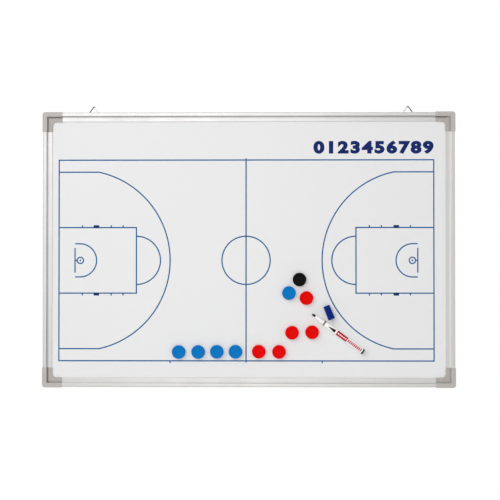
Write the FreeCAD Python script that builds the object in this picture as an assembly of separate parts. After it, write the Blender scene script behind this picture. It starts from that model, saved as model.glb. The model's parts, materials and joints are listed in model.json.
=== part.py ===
import FreeCAD, Part
import math
import os

# Wall-hung tactics board: framed steel writing panel, hanger rings, round magnets and a marker.
# Millimetres. X runs along the board, +Z is up and the writing face looks towards -Y.
# The origin is on the board's centre line, level with the points where the two wall hooks carry it.
# The board is drawn about its own centre, with depth counted backwards from the front of the rails,
# and every piece is moved to the hook origin when it is written.

os.makedirs("parts", exist_ok=True)

Vec = FreeCAD.Vector
RIGHT = Vec(1, 0, 0)
BACK = Vec(0, 1, 0)
FRONT = Vec(0, -1, 0)
UP = Vec(0, 0, 1)
FULL_TURN = 360

# Overall size, outside the rails
board_width = 900.0
board_height = 600.0

# Panel layers
face_thickness = 0.4
core_thickness = 10.0
rear_thickness = 0.3
panel_edge_gap = 0.4

# Rail section
rim_width = 8.7
lip_reach = 11.3
lip_setback = 2.5
lip_thickness = 1.5
rear_lip_reach = 8.3
rear_lip_thickness = 1.5
rail_wall = 1.4
slot_clearance = 0.1
rim_outer_round = 1.6
rim_inner_round = 1.6
lip_edge_round = 0.5
rail_rear_round = 0.6
chamber_round = 0.5
rail_end_gap = 1.0

# Corner caps
cap_leg = 43.5
cap_wall = 1.2
cap_step_wall = 0.6
cap_rear_wall = 2.2
cap_lip_wrap = 0.9
cap_outer_round = 6.0
cap_inner_round = 8.0
cap_end_round = 1.2
cap_edge_round = 1.0
cap_rail_fit = 0.1
cap_panel_fit = 0.2
tongue_fit = 0.15
tongue_length = 19.0
tongue_lead = 1.2
corner_screw_reach = 31.0

# Hanger straps and rings
hanger_left_share = -0.3776
hanger_right_share = 0.3878
wire_diameter = 2.3
ring_base = 31.5
ring_height = 21.5
ring_apex_round = 2.0
ring_base_round = 3.0
ring_axis_drop = 6.0
ring_stop_gap = 0.1
knuckle_play = 0.08
strap_thickness = 0.8
strap_end_play = 1.1
strap_drop = 13.0
strap_corner_round = 3.0
strap_screw_drop = 7.6
strap_screw_spacing = 9.0

# Screws
screw_shank_radius = 1.45
screw_tip_length = 1.6
screw_hole_play = 0.05
screw_head_radius = 2.75
corner_head_height = 1.35
corner_head_sink = 0.15
corner_screw_length = 9.0
pan_head_height = 1.7
pan_head_round = 1.0
hanger_screw_length = 7.0
driver_slot_length = 3.2
driver_slot_width = 0.6
driver_slot_depth = 0.9

# Magnets
magnet_radius = 15.0
magnet_top_radius = 14.5
magnet_height = 8.0
magnet_edge_round = 1.8
magnet_foot_round = 0.4
magnet_rim_width = 3.4
magnet_dish_depth = 0.7
magnet_dish_slope = 2.0
magnet_dish_round = 2.4
ferrite_radius = 11.0
ferrite_thickness = 4.0
ferrite_fit = 0.1
ferrite_sink = 0.15
magnet_seat_gap = 0.1

# Marker, measured along its axis from the tip of the nib
marker_length = 138.5
marker_turn = -36.6
marker_rest_gap = 0.3
barrel_radius = 5.9
barrel_wall = 0.9
barrel_end_round = 0.4
nib_reach = 8.5
nib_radius = 2.4
nib_tip_radius = 0.9
nib_taper_length = 5.0
nib_bite = 6.0
nib_fit = 0.05
nose_length = 22.0
nose_tip_radius = 3.4
nose_root_radius = 4.7
nose_tip_round = 0.8
collar_length = 1.8
collar_step = 0.2
groove_width = 2.0
groove_depth = 0.7
nose_spigot_length = 9.0
spigot_fit = 0.1
plug_length = 3.5
plug_end_round = 1.0
plug_spigot_length = 7.0
reservoir_fit = 0.8
reservoir_end_gap = 0.3

# Marker cap, lying beside the marker
pen_cap_length = 31.4
pen_cap_top_radius = 7.0
pen_cap_mouth_radius = 7.5
pen_cap_wall = 1.1
pen_cap_top_wall = 1.6
pen_cap_top_round = 1.0
pen_cap_mouth_round = 0.3
pen_cap_turn = -67.8

# Places on the face, as shares of the board's width and height from its centre
magnet_place_shares = {
    "magnet_black": (0.1236, -0.1093),
    "magnet_blue_1": (0.0980, -0.1583),
    "magnet_blue_2": (-0.1695, -0.3730),
    "magnet_blue_3": (-0.1223, -0.3728),
    "magnet_blue_4": (-0.0770, -0.3719),
    "magnet_blue_5": (-0.0317, -0.3720),
    "magnet_red_1": (0.1404, -0.1766),
    "magnet_red_2": (0.1054, -0.3025),
    "magnet_red_3": (0.1541, -0.3008),
    "magnet_red_4": (0.0248, -0.3713),
    "magnet_red_5": (0.0739, -0.3722),
}
marker_tip_shares = (0.1542, -0.2345)

# The cap's middle, as shares of the marker's length from the tip of the nib
pen_cap_place_shares = (0.2642, 0.0238)

# One overrun serves all cuts
overrun = 1.0

# Sizes worked out from those above
face_width = rim_width + lip_reach
slot_front = lip_setback + lip_thickness
panel_thickness = face_thickness + core_thickness + rear_thickness
slot_rear = slot_front + panel_thickness + slot_clearance
rail_depth = slot_rear + rear_lip_thickness
rear_reach = rim_width + rear_lip_reach
panel_inset = rim_width + panel_edge_gap
rail_inset = face_width + rail_end_gap
half_width = board_width / 2
half_height = board_height / 2
ring_half_base = ring_base / 2
ring_base_angle = math.atan2(ring_height, ring_half_base)
ring_corner_run = ring_base_round / math.tan(ring_base_angle / 2)
strap_width = 2 * (ring_half_base - ring_corner_run - strap_end_play)
wire_radius = wire_diameter / 2
knuckle_bore = wire_radius + knuckle_play
knuckle_radius = knuckle_bore + strap_thickness
screw_hole_radius = screw_shank_radius + screw_hole_play
chamber_middle = rim_width / 2
corner_screw_seat = rail_depth + cap_rear_wall - corner_head_sink


# Helpers
def rounded_wire(corners, radii):
    """Closed wire through the corners, each one rounded by its own radius."""
    count = len(corners)
    edges = []
    ends = []
    for i, here in enumerate(corners):
        radius = radii[i]
        if radius == 0:
            ends.append((here, None, here))
            continue
        back = (corners[i - 1] - here).normalize()
        ahead = (corners[(i + 1) % count] - here).normalize()
        half_angle = back.getAngle(ahead) / 2
        tangent = radius / math.tan(half_angle)
        middle = (back + ahead).normalize()
        crown = here + middle * (radius / math.sin(half_angle) - radius)
        ends.append((here + back * tangent, crown, here + ahead * tangent))
    for i, (start, crown, end) in enumerate(ends):
        if crown is not None:
            edges.append(Part.Arc(start, crown, end).toShape())
        edges.append(Part.makeLine(end, ends[(i + 1) % count][0]))
    return Part.Wire(edges)


def plain_wire(corners):
    """Closed wire with sharp corners."""
    return Part.makePolygon(corners + corners[:1])


def turned(corners, radii):
    """Solid of revolution about +X from (along, radius) corners."""
    wire = rounded_wire([Vec(along, radius, 0) for along, radius in corners], radii)
    return Part.Face(wire).revolve(Vec(0, 0, 0), RIGHT, FULL_TURN)


def placed(shape, base, direction):
    """Move a shape drawn along +X so that it starts at base and runs along direction."""
    moved = shape.copy()
    moved.Placement = FreeCAD.Placement(base, FreeCAD.Rotation(RIGHT, direction))
    return moved


def block(low, high):
    """Box between two opposite corners."""
    size = high - low
    return Part.makeBox(size.x, size.y, size.z, low)


def edges_at_depth(shape, depth):
    """The edges of a pad that lie in the plane at this depth."""
    near = Part.Precision.approximation()
    found = []
    for edge in shape.Edges:
        if all(abs(vertex.Y - depth) < near for vertex in edge.Vertexes):
            found.append(edge)
    return found


def single(shape):
    """The one solid of a cut or fused shape."""
    return shape.removeSplitter().Solids[0]


# Screws, drawn along +X from the top of the head to the tip
def driver_recess():
    """Cross recess for the screwdriver."""
    half_length = driver_slot_length / 2
    half_slot = driver_slot_width / 2
    flat = block(Vec(-overrun, -half_length, -half_slot), Vec(driver_slot_depth, half_length, half_slot))
    tall = block(Vec(-overrun, -half_slot, -half_length), Vec(driver_slot_depth, half_slot, half_length))
    return flat.fuse(tall)


def corner_screw():
    """Countersunk screw."""
    end = corner_screw_length
    corners = [
        (0, 0),
        (0, screw_head_radius),
        (corner_head_height, screw_shank_radius),
        (end - screw_tip_length, screw_shank_radius),
        (end, 0),
    ]
    return single(turned(corners, [0] * len(corners)).cut(driver_recess()))


def hanger_screw():
    """Pan-head screw."""
    end = pan_head_height + hanger_screw_length
    corners = [
        (0, 0),
        (0, screw_head_radius),
        (pan_head_height, screw_head_radius),
        (pan_head_height, screw_shank_radius),
        (end - screw_tip_length, screw_shank_radius),
        (end, 0),
    ]
    return single(turned(corners, [0, pan_head_round, 0, 0, 0, 0]).cut(driver_recess()))


def countersink(seat):
    """Cut for a corner screw whose head starts at seat."""
    play = screw_hole_play
    rim = screw_head_radius + play
    corners = [
        (-overrun, 0),
        (-overrun, rim),
        (play, rim),
        (corner_head_height + play, screw_hole_radius),
        (corner_screw_length + play, screw_hole_radius),
        (corner_screw_length + play, 0),
    ]
    return placed(turned(corners, [0] * len(corners)), seat, FRONT)


def shank_hole(seat, depth):
    """Straight hole for a screw shank, from seat towards the front."""
    return Part.makeCylinder(screw_hole_radius, depth, seat, FRONT)


# Places that several pieces share
corner_signs = {
    "top_left": (-1, 1),
    "top_right": (1, 1),
    "bottom_left": (-1, -1),
    "bottom_right": (1, -1),
}


def corner_point(signs, across, down, depth):
    """Point measured inwards from a corner of the board."""
    return Vec(signs[0] * (half_width - across), depth, signs[1] * (half_height - down))


corner_screw_seats = []
for signs in corner_signs.values():
    corner_screw_seats.append(corner_point(signs, corner_screw_reach, chamber_middle, corner_screw_seat))
    corner_screw_seats.append(corner_point(signs, chamber_middle, corner_screw_reach, corner_screw_seat))

hanger_places = {
    "left": hanger_left_share * board_width,
    "right": hanger_right_share * board_width,
}
ring_axis_depth = rail_depth + knuckle_radius
ring_axis_height = half_height - ring_axis_drop
strap_rear = rail_depth + strap_thickness
hanger_screw_seats = []
for place in hanger_places.values():
    for side in (-1, 1):
        across = place + side * strap_screw_spacing / 2
        hanger_screw_seats.append(Vec(across, strap_rear, ring_axis_height - strap_screw_drop))


# Panel
def panel_layer(front, thickness):
    """One sheet of the panel."""
    low = Vec(panel_inset - half_width, front, panel_inset - half_height)
    high = Vec(half_width - panel_inset, front + thickness, half_height - panel_inset)
    return block(low, high)


def drilled(shape, seats, depth):
    """Shape with a straight shank hole at each seat."""
    for seat in seats:
        shape = shape.cut(shank_hole(seat, depth))
    return single(shape)


core_front = slot_front + face_thickness
rear_front = core_front + core_thickness
hanger_hole_depth = hanger_screw_length + screw_hole_play
face_sheet = panel_layer(slot_front, face_thickness)
core = drilled(panel_layer(core_front, core_thickness), hanger_screw_seats, hanger_hole_depth)
rear_sheet = drilled(panel_layer(rear_front, rear_thickness), hanger_screw_seats, hanger_hole_depth)


# Rails
def rail(start, inward, run, length):
    """Extruded rail: start is on the outer front edge, inward points to the panel."""
    def at(across, depth):
        return start + inward * across + BACK * depth

    outline = [
        (at(0, rail_depth), rail_rear_round),
        (at(0, 0), rim_outer_round),
        (at(rim_width, 0), rim_inner_round),
        (at(rim_width, lip_setback), 0),
        (at(face_width, lip_setback), lip_edge_round),
        (at(face_width, slot_front), 0),
        (at(rim_width, slot_front), 0),
        (at(rim_width, slot_rear), 0),
        (at(rear_reach, slot_rear), 0),
        (at(rear_reach, rail_depth), lip_edge_round),
    ]
    inner_side = rim_width - rail_wall
    inner_rear = rail_depth - rail_wall
    chamber = [
        at(rail_wall, rail_wall),
        at(inner_side, rail_wall),
        at(inner_side, inner_rear),
        at(rail_wall, inner_rear),
    ]
    section = Part.Face(rounded_wire([p for p, r in outline], [r for p, r in outline]))
    hollow = Part.Face(rounded_wire(chamber, [chamber_round] * len(chamber)))
    bar = section.cut(hollow).Faces[0].extrude(run * length)
    holes = [countersink(seat) for seat in corner_screw_seats]
    holes += [shank_hole(seat, hanger_hole_depth) for seat in hanger_screw_seats]
    return single(bar.cut(Part.makeCompound(holes)))


rail_long = board_width - 2 * rail_inset
rail_short = board_height - 2 * rail_inset
rails = {
    "rail_top": rail(Vec(rail_inset - half_width, 0, half_height), -UP, RIGHT, rail_long),
    "rail_bottom": rail(Vec(rail_inset - half_width, 0, -half_height), UP, RIGHT, rail_long),
    "rail_left": rail(Vec(-half_width, 0, rail_inset - half_height), RIGHT, UP, rail_short),
    "rail_right": rail(Vec(half_width, 0, rail_inset - half_height), -RIGHT, UP, rail_short),
}


# Corner caps
def cap_pad(signs, reach, inner_round, front, rear, rounded_depth):
    """L-shaped pad that wraps the outer corner, with a rounded edge at one depth."""
    end = cap_leg - cap_wall
    plan = [
        ((-cap_wall, -cap_wall), cap_outer_round),
        ((end, -cap_wall), cap_end_round),
        ((end, reach), cap_end_round),
        ((reach, reach), inner_round),
        ((reach, end), cap_end_round),
        ((-cap_wall, end), cap_end_round),
    ]
    corners = [corner_point(signs, across, down, front) for (across, down), r in plan]
    pad = Part.Face(rounded_wire(corners, [r for p, r in plan])).extrude(BACK * (rear - front))
    return pad.makeFillet(cap_edge_round, edges_at_depth(pad, rounded_depth))


def rail_room(signs, along_x):
    """Room that one rail end takes inside a cap, with its fit."""
    fit = cap_rail_fit
    section = [
        (-fit, -fit),
        (rim_width + fit, -fit),
        (rim_width + fit, lip_setback - fit),
        (face_width + fit, lip_setback - fit),
        (face_width + fit, slot_front),
        (rear_reach + fit, slot_front),
        (rear_reach + fit, rail_depth),
        (-fit, rail_depth),
    ]
    start = rail_inset - fit
    points = []
    for across, depth in section:
        pair = (start, across) if along_x else (across, start)
        points.append(corner_point(signs, pair[0], pair[1], depth))
    run = RIGHT * -signs[0] if along_x else UP * -signs[1]
    return Part.Face(plain_wire(points)).extrude(run * (cap_leg + overrun))


def panel_room(signs):
    """Room for the corner of the panel inside a cap."""
    near = panel_inset - cap_panel_fit
    far = cap_leg + overrun
    one = corner_point(signs, near, near, slot_front)
    two = corner_point(signs, far, far, slot_front + panel_thickness + cap_panel_fit / 2)
    low = Vec(min(one.x, two.x), one.y, min(one.z, two.z))
    high = Vec(max(one.x, two.x), two.y, max(one.z, two.z))
    return block(low, high)


def tongue(signs, along_x):
    """Tapered tongue that plugs into a rail's chamber."""
    near = rail_wall + tongue_fit
    far = rim_width - rail_wall - tongue_fit
    deep = rail_depth - rail_wall - tongue_fit
    root = rail_inset - rail_end_gap
    shoulder = rail_inset + tongue_length - tongue_lead
    tip = rail_inset + tongue_length

    def frame(reach, inset):
        section = [
            (near + inset, near + inset),
            (far - inset, near + inset),
            (far - inset, deep - inset),
            (near + inset, deep - inset),
        ]
        points = []
        for across, depth in section:
            pair = (reach, across) if along_x else (across, reach)
            points.append(corner_point(signs, pair[0], pair[1], depth))
        return plain_wire(points)

    straight = Part.makeLoft([frame(root, 0), frame(shoulder, 0)], True, True)
    lead = Part.makeLoft([frame(shoulder, 0), frame(tip, tongue_lead / 2)], True, True)
    return straight.fuse(lead)


def corner_cap(signs):
    """Moulded cap that joins two rails: skin, corner block and two tongues."""
    rim_reach = rim_width + cap_step_wall
    rear = rail_depth + cap_rear_wall
    rim_front = -cap_wall
    lip_front = lip_setback - cap_wall
    rim = cap_pad(signs, rim_reach, cap_edge_round, rim_front, lip_setback, rim_front)
    lip = cap_pad(signs, face_width + cap_lip_wrap, cap_inner_round, lip_front, slot_front, lip_front)
    body = cap_pad(signs, rear_reach + cap_wall, cap_edge_round, lip_setback, rear, rear)
    shell = rim.fuse([lip, body])
    rooms = [rail_room(signs, True), rail_room(signs, False), panel_room(signs)]
    shell = shell.cut(rooms[0].fuse(rooms[1:]))
    shell = shell.fuse([tongue(signs, True), tongue(signs, False)])
    return single(shell.cut(Part.makeCompound([countersink(seat) for seat in corner_screw_seats])))


caps = {}
for name, signs in corner_signs.items():
    caps["corner_cap_" + name] = corner_cap(signs)


# Hangers
def hanger_strap(place):
    """Folded strap: plate on the rail's rear face and a rolled knuckle round the wire."""
    half = strap_width / 2
    low = ring_axis_height - strap_drop
    outline = [
        (Vec(place - half, rail_depth, ring_axis_height), 0),
        (Vec(place + half, rail_depth, ring_axis_height), 0),
        (Vec(place + half, rail_depth, low), strap_corner_round),
        (Vec(place - half, rail_depth, low), strap_corner_round),
    ]
    plate_face = Part.Face(rounded_wire([p for p, r in outline], [r for p, r in outline]))
    plate = plate_face.extrude(BACK * strap_thickness)
    axis_start = Vec(place - half, ring_axis_depth, ring_axis_height)
    knuckle = Part.makeCylinder(knuckle_radius, strap_width, axis_start, RIGHT)
    bore = Part.makeCylinder(knuckle_bore, strap_width + 2 * overrun, axis_start - RIGHT * overrun, RIGHT)
    return drilled(plate.fuse(knuckle).cut(bore), hanger_screw_seats, hanger_hole_depth)


def ring_lean():
    """Forward lean at which the legs come to rest against the rail's rear top edge."""
    reach = math.hypot(knuckle_radius, ring_axis_drop)
    clear = math.asin((wire_radius + ring_stop_gap) / reach)
    return math.atan2(knuckle_radius, ring_axis_drop) - clear


def hanger_ring(place):
    """Triangle of bent wire, closed inside the knuckle."""
    corners = [Vec(-ring_half_base, 0, 0), Vec(ring_half_base, 0, 0), Vec(0, 0, ring_height)]
    path = rounded_wire(corners, [ring_base_round, ring_base_round, ring_apex_round])
    first = path.OrderedEdges[0]
    start = first.valueAt(first.FirstParameter)
    along = first.tangentAt(first.FirstParameter)
    section = Part.Wire(Part.makeCircle(wire_radius, start, along))
    ring = path.makePipeShell([section], True, False)
    ring.rotate(Vec(0, 0, 0), RIGHT, math.degrees(ring_lean()))
    ring.translate(Vec(place, ring_axis_depth, ring_axis_height))
    return ring


apex_half_angle = math.atan2(ring_half_base, ring_height)
apex_rise = ring_height - ring_apex_round * (1 / math.sin(apex_half_angle) - 1)
hook_reach = apex_rise - wire_radius
hook_depth = ring_axis_depth - hook_reach * math.sin(ring_lean())
hook_height = ring_axis_height + hook_reach * math.cos(ring_lean())


# Magnets, drawn along +X from the foot to the dished top
def magnet_cap():
    """Moulded disc with a rounded edge, a dished top and a pocket for the ferrite."""
    pocket_radius = ferrite_radius + ferrite_fit
    pocket_depth = ferrite_sink + ferrite_thickness
    rim_inside = magnet_top_radius - magnet_rim_width
    floor_height = magnet_height - magnet_dish_depth
    outline = [
        ((0, pocket_radius), 0),
        ((0, magnet_radius), magnet_foot_round),
        ((magnet_height, magnet_top_radius), magnet_edge_round),
        ((magnet_height, rim_inside), magnet_dish_round),
        ((floor_height, rim_inside - magnet_dish_slope), magnet_dish_round),
        ((floor_height, 0), 0),
        ((pocket_depth, 0), 0),
        ((pocket_depth, pocket_radius), 0),
    ]
    return turned([p for p, r in outline], [r for p, r in outline])


def ferrite_disc():
    """Ferrite disc in the magnet's pocket."""
    low = ferrite_sink
    high = ferrite_sink + ferrite_thickness
    corners = [(low, 0), (low, ferrite_radius), (high, ferrite_radius), (high, 0)]
    return turned(corners, [0] * len(corners))


magnets = {}
for name, (across_share, up_share) in magnet_place_shares.items():
    foot = Vec(across_share * board_width, slot_front - magnet_seat_gap, up_share * board_height)
    magnets[name + "_cap"] = placed(magnet_cap(), foot, FRONT)
    magnets[name + "_ferrite"] = placed(ferrite_disc(), foot, FRONT)


# Marker, drawn along +X from the tip of the nib
nose_end = nib_reach + nose_length
collar_end = nose_end + collar_length
barrel_start = collar_end + groove_width
barrel_end = marker_length - plug_length
barrel_bore = barrel_radius - barrel_wall
spigot_radius = barrel_bore - spigot_fit
collar_radius = barrel_radius - collar_step
groove_radius = collar_radius - groove_depth
spigot_end = barrel_start + nose_spigot_length
nib_end = spigot_end + nib_bite
nib_bore = nib_radius + nib_fit
plug_spigot_start = barrel_end - plug_spigot_length
reservoir_radius = barrel_bore - reservoir_fit
reservoir_end = plug_spigot_start - reservoir_end_gap


def marker_nib():
    """Bullet nib on a straight fibre stem."""
    corners = [
        (0, 0),
        (0, nib_tip_radius),
        (nib_taper_length, nib_radius),
        (nib_end, nib_radius),
        (nib_end, 0),
    ]
    return turned(corners, [0, nib_tip_radius / 2, nib_taper_length / 2, 0, 0])


def marker_nose():
    """Front section: tapered nose, collar where the cap stops, groove and spigot, bored for the nib."""
    corners = [
        (nib_reach, nib_bore),
        (nib_reach, nose_tip_radius),
        (nose_end, nose_root_radius),
        (nose_end, collar_radius),
        (collar_end, collar_radius),
        (collar_end, groove_radius),
        (barrel_start, groove_radius),
        (barrel_start, spigot_radius),
        (spigot_end, spigot_radius),
        (spigot_end, nib_bore),
    ]
    return turned(corners, [0, nose_tip_round] + [0] * (len(corners) - 2))


def marker_barrel():
    """Barrel tube."""
    corners = [
        (barrel_start, barrel_bore),
        (barrel_start, barrel_radius),
        (barrel_end, barrel_radius),
        (barrel_end, barrel_bore),
    ]
    return turned(corners, [0, barrel_end_round, barrel_end_round, 0])


def marker_plug():
    """End plug with its spigot."""
    corners = [
        (plug_spigot_start, 0),
        (plug_spigot_start, spigot_radius),
        (barrel_end, spigot_radius),
        (barrel_end, barrel_radius),
        (marker_length, barrel_radius),
        (marker_length, 0),
    ]
    return turned(corners, [0, 0, 0, 0, plug_end_round, 0])


def marker_reservoir():
    """Ink reservoir, with a socket for the end of the nib's stem."""
    corners = [
        (spigot_end, nib_bore),
        (spigot_end, reservoir_radius),
        (reservoir_end, reservoir_radius),
        (reservoir_end, 0),
        (nib_end, 0),
        (nib_end, nib_bore),
    ]
    return turned(corners, [0] * len(corners))


def pen_cap():
    """Marker cap, closed at its start and open at its mouth."""
    bore_top = pen_cap_top_radius - pen_cap_wall
    bore_mouth = pen_cap_mouth_radius - pen_cap_wall
    outline = [
        ((0, 0), 0),
        ((0, pen_cap_top_radius), pen_cap_top_round),
        ((pen_cap_length, pen_cap_mouth_radius), pen_cap_mouth_round),
        ((pen_cap_length, bore_mouth), 0),
        ((pen_cap_top_wall, bore_top), 0),
        ((pen_cap_top_wall, 0), 0),
    ]
    return turned([p for p, r in outline], [r for p, r in outline])


marker_angle = math.radians(marker_turn)
marker_axis = Vec(math.cos(marker_angle), 0, math.sin(marker_angle))
marker_depth = slot_front - marker_rest_gap - barrel_radius
marker_tip = Vec(marker_tip_shares[0] * board_width, marker_depth, marker_tip_shares[1] * board_height)
marker_pieces = {
    "marker_nib": marker_nib(),
    "marker_nose": marker_nose(),
    "marker_barrel": marker_barrel(),
    "marker_end_plug": marker_plug(),
    "marker_reservoir": marker_reservoir(),
}

pen_cap_angle = math.radians(pen_cap_turn)
pen_cap_rise = (pen_cap_mouth_radius - pen_cap_top_radius) / pen_cap_length
pen_cap_axis = Vec(math.cos(pen_cap_angle), -pen_cap_rise, math.sin(pen_cap_angle))
pen_cap_middle = Vec(
    marker_tip.x + pen_cap_place_shares[0] * marker_length,
    slot_front - marker_rest_gap - (pen_cap_top_radius + pen_cap_mouth_radius) / 2,
    marker_tip.z + pen_cap_place_shares[1] * marker_length,
)
pen_cap_start = pen_cap_middle - pen_cap_axis * (pen_cap_length / 2)


# Write every node in the hook frame
nodes = {"face_sheet": face_sheet, "core": core, "rear_sheet": rear_sheet}
nodes.update(rails)
nodes.update(caps)
nodes["corner_screws"] = Part.makeCompound(
    [placed(corner_screw(), seat, FRONT) for seat in corner_screw_seats]
)
for side, place in hanger_places.items():
    nodes["hanger_strap_" + side] = hanger_strap(place)
    nodes["hanger_ring_" + side] = hanger_ring(place)
head_offset = BACK * pan_head_height
nodes["hanger_screws"] = Part.makeCompound(
    [placed(hanger_screw(), seat + head_offset, FRONT) for seat in hanger_screw_seats]
)
nodes.update(magnets)
for name, piece in marker_pieces.items():
    nodes[name] = placed(piece, marker_tip, marker_axis)
nodes["marker_cap"] = placed(pen_cap(), pen_cap_start, pen_cap_axis)

to_hooks = Vec(0, -hook_depth, -hook_height)
for name, shape in nodes.items():
    shape.translate(to_hooks)
    shape.exportStep("parts/" + name + ".step")
    print(name, "solids", len(shape.Solids), "volume", round(shape.Volume, 1), "valid", shape.isValid())

print("hook origin in board frame: depth", round(hook_depth, 3), "height", round(hook_height, 3))
ring_axis_back = ring_axis_depth - hook_depth
ring_axis_up = ring_axis_height - hook_height
print("ring axis in hook frame:", round(ring_axis_back, 3), round(ring_axis_up, 3))
print("ring lean in degrees:", round(math.degrees(ring_lean()), 3))
print("rail depth", rail_depth)
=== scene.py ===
# %% [markdown]
# A wall-hung tactics board: a white lacquered steel face in an aluminium frame, with grey corner caps,
# wire hanger rings, round magnets, and a marker with its cap.
# The construction comes ready made, in metres, in one shared frame: X runs along the board, Z is up and
# the face looks towards -Y. This lesson adds what the eye sees: light, finishes and everything printed.

# %% Load the construction
import json
import math

import bmesh
import bpy
from mathutils import Matrix, Vector

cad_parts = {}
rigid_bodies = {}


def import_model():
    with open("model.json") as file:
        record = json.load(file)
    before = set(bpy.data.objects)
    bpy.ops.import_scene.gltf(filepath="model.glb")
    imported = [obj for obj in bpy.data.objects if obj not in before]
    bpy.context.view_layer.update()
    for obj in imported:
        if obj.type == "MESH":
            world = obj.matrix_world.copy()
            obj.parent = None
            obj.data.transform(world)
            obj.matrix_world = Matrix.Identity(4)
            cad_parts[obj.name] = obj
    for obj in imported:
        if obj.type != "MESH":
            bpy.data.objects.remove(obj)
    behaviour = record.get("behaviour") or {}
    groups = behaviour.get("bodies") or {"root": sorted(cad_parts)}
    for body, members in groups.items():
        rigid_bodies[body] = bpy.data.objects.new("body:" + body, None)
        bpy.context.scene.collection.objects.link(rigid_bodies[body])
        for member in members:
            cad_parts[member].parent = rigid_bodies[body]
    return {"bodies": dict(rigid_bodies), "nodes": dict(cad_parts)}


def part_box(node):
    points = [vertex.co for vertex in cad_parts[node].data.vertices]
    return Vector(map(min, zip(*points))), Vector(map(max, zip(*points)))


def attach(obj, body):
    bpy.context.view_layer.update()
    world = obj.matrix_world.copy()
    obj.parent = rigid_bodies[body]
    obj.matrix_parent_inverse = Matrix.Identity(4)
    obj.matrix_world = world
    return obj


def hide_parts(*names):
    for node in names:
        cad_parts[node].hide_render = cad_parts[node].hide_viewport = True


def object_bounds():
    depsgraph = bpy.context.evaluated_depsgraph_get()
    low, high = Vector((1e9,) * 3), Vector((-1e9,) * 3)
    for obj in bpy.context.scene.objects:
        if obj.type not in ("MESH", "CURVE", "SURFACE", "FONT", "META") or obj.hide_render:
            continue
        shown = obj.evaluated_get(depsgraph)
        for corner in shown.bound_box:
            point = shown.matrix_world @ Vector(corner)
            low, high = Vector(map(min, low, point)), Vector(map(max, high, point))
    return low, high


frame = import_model()
cad_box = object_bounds()
nodes = frame["nodes"]
scene = bpy.context.scene
MM = 0.001

rail_low, rail_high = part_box("rail_left")[0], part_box("rail_right")[1]
board_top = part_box("rail_top")[1].z
board_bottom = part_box("rail_bottom")[0].z
board_width = rail_high.x - rail_low.x
board_middle = Vector((0, rail_low.y, (board_top + board_bottom) / 2))
board_half_width, board_half_height = board_width / 2, (board_top - board_bottom) / 2
face_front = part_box("face_sheet")[0].y

# %% [markdown]
# The camera comes first. The photograph is square and was taken
# from in front with a long lens. The bottom and right edges of the frame measure a little longer than the
# top and left ones, so the camera stood a touch low and a touch to the right.
# The lens follows from one sum: the board's width in pixels gives the width of the whole picture.

# %% Camera
PHOTO_SIDE_PX = 500
BOARD_WIDTH_PX = 412.4
BOARD_MIDDLE_PX = (248.5, 249.5)
VIEW_DISTANCE = 3.0
VIEW_RIGHT_DEG = 0.95
VIEW_BELOW_DEG = 0.9

metres_per_pixel = board_width / BOARD_WIDTH_PX
aim_right = (PHOTO_SIDE_PX / 2 - BOARD_MIDDLE_PX[0]) * metres_per_pixel
aim_up = (BOARD_MIDDLE_PX[1] - PHOTO_SIDE_PX / 2) * metres_per_pixel
aim = board_middle + Vector((aim_right, 0, aim_up))
towards_camera = Vector((
    math.tan(math.radians(VIEW_RIGHT_DEG)),
    -1,
    -math.tan(math.radians(VIEW_BELOW_DEG)),
)).normalized()

camera_data = bpy.data.cameras.new("camera")
camera_data.lens = camera_data.sensor_width * VIEW_DISTANCE / (PHOTO_SIDE_PX * metres_per_pixel)
camera = bpy.data.objects.new("camera", camera_data)
camera.location = aim + towards_camera * VIEW_DISTANCE
camera.rotation_euler = towards_camera.to_track_quat("Z", "Y").to_euler()
scene.collection.objects.link(camera)
scene.camera = camera
print("lens in mm", round(camera_data.lens, 1))

# %% [markdown]
# Materials, the world and geometry trees are all made of nodes, so one small function adds any node:
# its properties, then its sockets, each one a value or a link from another node. A node that is given as a
# link stands for its first output, usually the one that is wanted.
# Colours are written as the hex values that a colour picker shows, and one function turns them to the
# linear light that shaders add up. Patterns are written by their real size in millimetres.

# %% Helpers for nodes, colours and pattern sizes
def add_node(tree, kind, sockets=None, **settings):
    """Add one node with its settings. Each socket gets a value, a link or a list of links."""
    made = tree.nodes.new(kind)
    for name, value in settings.items():
        setattr(made, name, value)
    for key, value in (sockets or {}).items():
        for source in value if isinstance(value, list) else [value]:
            if isinstance(source, bpy.types.Node):
                source = source.outputs[0]
            if isinstance(source, bpy.types.NodeSocket):
                tree.links.new(source, made.inputs[key])
            else:
                made.inputs[key].default_value = source
    return made


def srgb(code):
    """Linear colour with alpha from an sRGB hex value."""
    shares = [int(code[i:i + 2], 16) / 255 for i in (1, 3, 5)]
    return tuple(s / 12.92 if s <= 0.04045 else ((s + 0.055) / 1.055) ** 2.4 for s in shares) + (1.0,)


def per_metre(size_mm):
    """Texture scale that draws a feature of this many millimetres."""
    return 1 / (size_mm * MM)


# A Mix node that is set to colours takes them at these inputs, and gives its result at this output
MIX_A, MIX_B, MIX_COLOUR = 6, 7, 2

# %% [markdown]
# Studio light for a pale object: a bright even surround and one large soft box, high on the left, which
# gives the frame's inner steps and the magnets their faint shadows below and to the right. Satin metal shows
# only what it mirrors, so the sheen box shines in the top and left rails and the low box in the bottom one.
# A weak fill comes from the right, and a last box lights the back.
# The lamps stay at the level where a colour shows about as it is written. The white background is only
# what camera, mirror and glass rays see, so it adds no light to the board.

# %% World
AMBIENT = 0.54


def background_share(tree):
    """Which rays see the background: those from the camera, a mirror or glass."""
    ray = add_node(tree, "ShaderNodeLightPath").outputs
    either = add_node(tree, "ShaderNodeMath", {0: ray["Is Camera Ray"], 1: ray["Is Glossy Ray"]})
    return add_node(tree, "ShaderNodeMath", {0: either, 1: ray["Is Transmission Ray"]}, use_clamp=True)


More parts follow.
